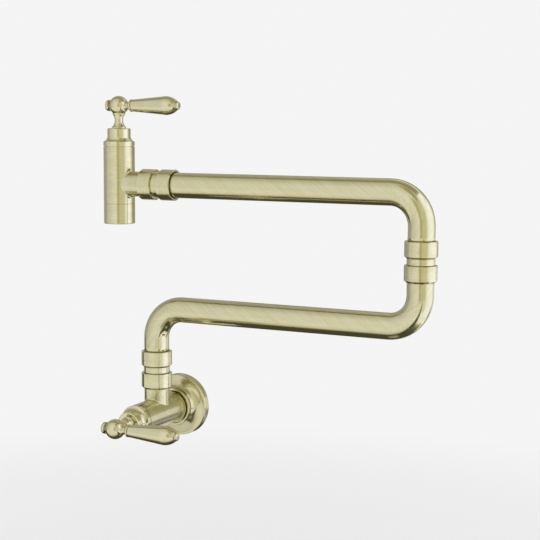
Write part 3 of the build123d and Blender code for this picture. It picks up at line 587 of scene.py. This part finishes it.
# pieces that are not metal
inert = {
    "seal_rubber": {
        "colour": (0.028, 0.028, 0.030), "other": (0.07, 0.068, 0.065), "contrast": 0.5,
        "roughness": 0.62, "grain": 3000.0, "blotch": 220.0, "bump": 0.3, "depth": 0.03 * mm,
    },
    "gasket_foam": {
        "colour": (0.09, 0.09, 0.095), "other": (0.16, 0.16, 0.16), "contrast": 0.8,
        "roughness": 0.9, "grain": 1600.0, "blotch": 150.0, "bump": 0.8, "depth": 0.15 * mm,
    },
    "bearing_plastic": {
        "colour": (0.10, 0.085, 0.065), "other": (0.22, 0.18, 0.13), "contrast": 0.6,
        "roughness": 0.45, "grain": 4000.0, "blotch": 260.0, "bump": 0.2, "depth": 0.02 * mm,
    },
    "aerator_plastic": {
        "colour": (0.56, 0.56, 0.53), "other": (0.42, 0.42, 0.40), "contrast": 0.35,
        "roughness": 0.42, "grain": 2200.0, "blotch": 140.0, "bump": 0.25, "depth": 0.02 * mm,
    },
    "ceramic_disc": {
        "colour": (0.84, 0.83, 0.79), "other": (0.70, 0.68, 0.63), "contrast": 0.25,
        "roughness": 0.22, "grain": 5000.0, "blotch": 180.0, "bump": 0.1, "depth": 0.01 * mm,
    },
}


def inertMaterial(name, look):
    material, tree, shader = newMaterial(name)
    place = addNode(tree, "ShaderNodeTexCoord").outputs["Object"]
    made = placeGroup(tree, speckle, {
        "Position": place, "Grain": look["grain"], "Blotch": look["blotch"], "Colour": rgba(look["colour"]),
        "Other": rgba(look["other"]), "Contrast": look["contrast"],
    })
    low, high = (look["roughness"] + side * speckling["roughSpread"] for side in (-1, 1))
    rough = remap(tree, made["Height"], *speckling["roughGrain"], low, high)
    bump = addNode(tree, "ShaderNodeBump", {
        "Strength": look["bump"], "Distance": look["depth"], "Height": made["Height"],
    })
    plug(tree, shader.inputs["Base Color"], made["Colour"])
    plug(tree, shader.inputs["Roughness"], rough)
    plug(tree, shader.inputs["Normal"], bump.outputs[0])
    return material


inertMaterials = {slot: inertMaterial(slot, look) for slot, look in inert.items()}


# turning axes, read from the pieces that lie on them
def middle(name):
    low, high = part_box(name)
    return (low + high) / 2


axes = {
    "valve": ((0, 0, 0), (0, 1, 0)),
    "riser": (tuple(middle("base_swivel_collar")), (0, 0, 1)),
    "elbow": (tuple(middle("elbow_collar")), (0, 0, 1)),
    "union": (tuple(middle("union_nipple")), (1, 0, 0)),
    "spout": (tuple(middle("outlet_tip")), (0, 0, 1)),
    "spoutLever": (tuple(middle("spout_handle_lever")), (1, 0, 0)),
    "baseLever": (tuple(middle("base_handle_lever")), (1, 0, 0)),
}

# the longest start that fits a piece's name says which axis it was turned on
turnedOn = {
    "wall_flange": "valve", "inlet_": "valve", "base_": "valve", "base_swivel_": "riser",
    "elbow_": "elbow", "union_": "union", "spout_": "spout", "outlet_": "spout",
}
for valve in ("spout", "base"):
    for piece in ("hub", "lever", "tip", "finial"):
        turnedOn[f"{valve}_handle_{piece}"] = valve + "Lever"

metalMaterials = {}


def metalFor(slot, node):
    if slot == "satin_brass":
        slot = next((kind for kind, starts in brassKinds.items() if node.startswith(starts)), slot)
    axis = turnedOn[max((start for start in turnedOn if node.startswith(start)), key=len)]
    key = f"{slot}_{axis}"
    if key not in metalMaterials:
        metalMaterials[key] = turnedMaterial(key, metals[slot], *axes[axis])
    return metalMaterials[key]


pipeNodes = ("lower_arm_tube", "upper_arm_tube")
for name, node in nodes.items():
    if name in pipeNodes:
        continue
    slot = slotOf[name]
    node.data.materials.clear()
    node.data.materials.append(inertMaterials[slot] if slot in inert else metalFor(slot, name))
print("finishes applied")


# the two bent arms, with a map that follows the pipe
pipe = {
    "segments": 80,
    "wall": 1.5 * mm,
    "bendRadius": 30.0 * mm,
    "bendSteps": 28,
    "runStep": 9.0 * mm,
    "blend": 0.2,  # share of a bend over which slanting lines turn into rings
    "twist": 58.0,  # radians of slant per metre
    "strands": 13.0,
    "run": 70.0,
}
pipeLook = {**metals["satin_brass"], **{key: pipe[key] for key in ("twist", "strands", "run")}}
pipeBrass = pipeMaterial("satin_brass_pipe", pipeLook)


def pullRing(bm, ring, move, layers, travel, bend):
    made = bmesh.ops.extrude_edge_only(bm, edges=ring)["geom"]
    verts = [item for item in made if isinstance(item, bmesh.types.BMVert)]
    bmesh.ops.transform(bm, matrix=move, verts=verts)
    for vert in verts:
        vert[layers["along"]] = travel
        vert[layers["bend"]] = bend
    fresh = set(verts)
    return [item for item in made if isinstance(item, bmesh.types.BMEdge) and fresh.issuperset(item.verts)]


def bentPipe(name, start, radius, legs):
    bm = bmesh.new()
    layers = {key: bm.verts.layers.float.new(key) for key in ("along", "around", "bend")}
    bmesh.ops.create_circle(bm, segments=pipe["segments"], radius=radius)
    for vert in bm.verts:
        vert[layers["around"]] = atan2(vert.co.x, vert.co.y) / (2 * pi) % 1.0  # seam at the back
    bmesh.ops.translate(bm, vec=start, verts=bm.verts)
    ring, place, heading, travel = bm.edges[:], start.copy(), 0.0, 0.0
    for kind, amount in legs:
        ahead = Vector((sin(heading), 0, cos(heading)))
        if kind == "run":
            steps = max(1, round(amount / pipe["runStep"]))
            for _ in range(steps):
                travel += amount / steps
                move = Matrix.Translation(ahead * amount / steps)
                ring = pullRing(bm, ring, move, layers, travel, 0.0)
            place += ahead * amount
            continue
        angle, steps = radians(amount), pipe["bendSteps"]
        across = Vector((cos(heading), 0, -sin(heading)))
        centre = Matrix.Translation(place + across * copysign(pipe["bendRadius"], angle))
        move = centre @ Matrix.Rotation(angle / steps, 4, "Y") @ centre.inverted()
        for step in range(1, steps + 1):
            travel += pipe["bendRadius"] * abs(angle) / steps
            share = min(1.0, min(step, steps - step) / (steps * pipe["blend"]))
            ring = pullRing(bm, ring, move, layers, travel, share)
        place = centre @ Matrix.Rotation(angle, 4, "Y") @ centre.inverted() @ place
        heading += angle
    bmesh.ops.recalc_face_normals(bm, faces=bm.faces)
    unwrapped = bm.loops.layers.uv.new("pipe")
    for face in bm.faces:
        face.smooth = True
        turns = [loop.vert[layers["around"]] for loop in face.loops]
        wraps = max(turns) - min(turns) > 0.5
        for loop, turn in zip(face.loops, turns):
            loop[unwrapped].uv = (loop.vert[layers["along"]], turn + 1 if wraps and turn < 0.5 else turn)
    piece = bpy.data.objects.new(name, bpy.data.meshes.new(name))
    bm.to_mesh(piece.data)
    bm.free()
    scene.collection.objects.link(piece)
    piece.data.materials.append(pipeBrass)
    wall = piece.modifiers.new("wall", "SOLIDIFY")
    wall.thickness = pipe["wall"]
    wall.offset = -1
    wall.use_even_offset = True
    return piece


def addArms():
    lowerLow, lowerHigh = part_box("lower_arm_tube")
    upperLow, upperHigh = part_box("upper_arm_tube")
    radius = (lowerHigh.y - lowerLow.y) / 2
    depth = (lowerHigh.y + lowerLow.y) / 2
    bend = pipe["bendRadius"]
    rise = upperHigh.z - radius - upperLow.z  # foot of a riser to the run above it, the same in both arms
    lowerRun = lowerHigh.x - lowerLow.x - 2 * radius
    lower = bentPipe("lowerArmPipe", Vector((lowerLow.x + radius, depth, lowerLow.z)), radius, (
        ("run", rise - bend), ("bend", 90), ("run", lowerRun - 2 * bend), ("bend", -90),
        ("run", lowerHigh.z - lowerLow.z - rise - bend),
    ))
    upper = bentPipe("upperArmPipe", Vector((upperHigh.x - radius, depth, upperLow.z)), radius, (
        ("run", rise - bend), ("bend", -90), ("run", upperHigh.x - radius - bend - upperLow.x),
    ))
    for piece, body in ((lower, "lower_arm"), (upper, "upper_arm")):
        node = body + "_tube"
        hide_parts(node)
        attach(piece, body)


addArms()
print("arms bent")


# screwed nipple into the wall, with a true helical thread at both ends
inlet = {
    "pitch": 1.814 * mm,
    "depth": 1.10 * mm,
    # one turn's outline, in shares of the pitch and the depth
    "profile": ((0.0, 0.0), (0.10, 0.0), (0.38, 1.0), (0.62, 1.0), (0.90, 0.0), (1.0, 0.0)),
    "steps": 48,
    "waist": 0.9 * mm,
    "waistWidth": 1.8 * mm,
    "key": 12.0 * mm,
    "keySides": 6,
    "runOut": 1.5,  # turns wound past each end before the ends are cut
    "weld": 0.002 * mm,
    "crease": 35,  # degrees
    "leadBack": 1.4 * mm,
    "leadFront": 0.8 * mm,
    "leadWaist": 0.5 * mm,
}


def edgeLoopAt(bm, y):
    return [
        edge for edge in bm.edges
        if edge.is_boundary and all(abs(vert.co.y - y) < inlet["weld"] / 2 for vert in edge.verts)
    ]


def setRadius(vert, radius):
    now = hypot(vert.co.x, vert.co.z)
    vert.co.x *= radius / now
    vert.co.z *= radius / now


def cutThread(bm, radius, low, high, leadLow, leadHigh):
    pitch, depth, steps = inlet["pitch"], inlet["depth"], inlet["steps"]
    turns = int((high - low) / pitch) + round(2 * inlet["runOut"])
    start = low - inlet["runOut"] * pitch
    old = set(bm.verts)
    points = [
        bm.verts.new((radius - depth + depth * rise, start + pitch * share, 0))
        for share, rise in inlet["profile"]
    ]
    edges = [bm.edges.new(pair) for pair in zip(points, points[1:])]
    bmesh.ops.spin(
        bm, geom=points + edges, cent=(0, 0, 0), axis=(0, 1, 0), dvec=(0, pitch / steps, 0),
        angle=2 * pi * turns, steps=steps * turns,
    )
    bmesh.ops.remove_doubles(bm, verts=[vert for vert in bm.verts if vert not in old], dist=inlet["weld"])
    for y, drop in ((low, "clear_inner"), (high, "clear_outer")):
        fresh = [vert for vert in bm.verts if vert not in old]
        geometry = fresh + list({edge for vert in fresh for edge in vert.link_edges})
        geometry += list({face for vert in fresh for face in vert.link_faces})
        bmesh.ops.bisect_plane(bm, geom=geometry, plane_co=(0, y, 0), plane_no=(0, 1, 0), **{drop: True})
    for vert in bm.verts:
        if vert in old:
            continue
        room = min((vert.co.y - low) / leadLow, (high - vert.co.y) / leadHigh, 1.0)
        limit = radius - depth + depth * room
        if hypot(vert.co.x, vert.co.z) > limit:
            setRadius(vert, limit)


def ringInto(bm, loop, radius):
    made = bmesh.ops.extrude_edge_only(bm, edges=loop)["geom"]
    verts = {item for item in made if isinstance(item, bmesh.types.BMVert)}
    for vert in verts:
        setRadius(vert, radius)
    return [item for item in made if isinstance(item, bmesh.types.BMEdge) and verts.issuperset(item.verts)]


def addInlet():
    low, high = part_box("inlet_nipple")
    radius = (high.x - low.x) / 2
    bm = bmesh.new()
    cutThread(bm, radius, low.y, 0.0, inlet["leadFront"], inlet["leadWaist"])
    cutThread(bm, radius, inlet["waistWidth"], high.y, inlet["leadWaist"], inlet["leadBack"])
    waist = ringInto(bm, edgeLoopAt(bm, 0.0), radius - inlet["waist"])
    waist += ringInto(bm, edgeLoopAt(bm, inlet["waistWidth"]), radius - inlet["waist"])
    bmesh.ops.bridge_loops(bm, edges=waist)
    keySides = inlet["keySides"]
    corner = inlet["key"] / 2 / cos(pi / keySides)
    made = bmesh.ops.create_circle(bm, segments=keySides, radius=corner)["verts"]
    bmesh.ops.rotate(bm, verts=made, cent=(0, 0, 0), matrix=Matrix.Rotation(pi / 2, 3, "X"))
    bmesh.ops.translate(bm, verts=made, vec=(0, low.y, 0))
    sides = list({edge for vert in made for edge in vert.link_edges})
    bmesh.ops.subdivide_edges(bm, edges=sides, cuts=inlet["steps"] // keySides - 1)
    bore = [edge for edge in bm.edges if edge.is_wire]
    mouth = edgeLoopAt(bm, low.y) + bore
    made = bmesh.ops.extrude_edge_only(bm, edges=bore)["geom"]
    verts = {item for item in made if isinstance(item, bmesh.types.BMVert)}
    bmesh.ops.translate(bm, verts=list(verts), vec=(0, high.y - low.y, 0))
    bmesh.ops.bridge_loops(bm, edges=mouth)
    bmesh.ops.bridge_loops(bm, edges=edgeLoopAt(bm, high.y))
    bmesh.ops.recalc_face_normals(bm, faces=bm.faces)
    for face in bm.faces:
        face.smooth = True
    print("inlet open edges:", sum(not edge.is_manifold for edge in bm.edges))
    piece = bpy.data.objects.new("threadedInlet", bpy.data.meshes.new("threadedInlet"))
    bm.to_mesh(piece.data)
    bm.free()
    piece.data.set_sharp_from_angle(angle=radians(inlet["crease"]))
    scene.collection.objects.link(piece)
    piece.data.materials.append(metalFor(slotOf["inlet_nipple"], "inlet_nipple"))
    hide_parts("inlet_nipple")
    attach(piece, "wall_base")


addInlet()
print("inlet threaded")
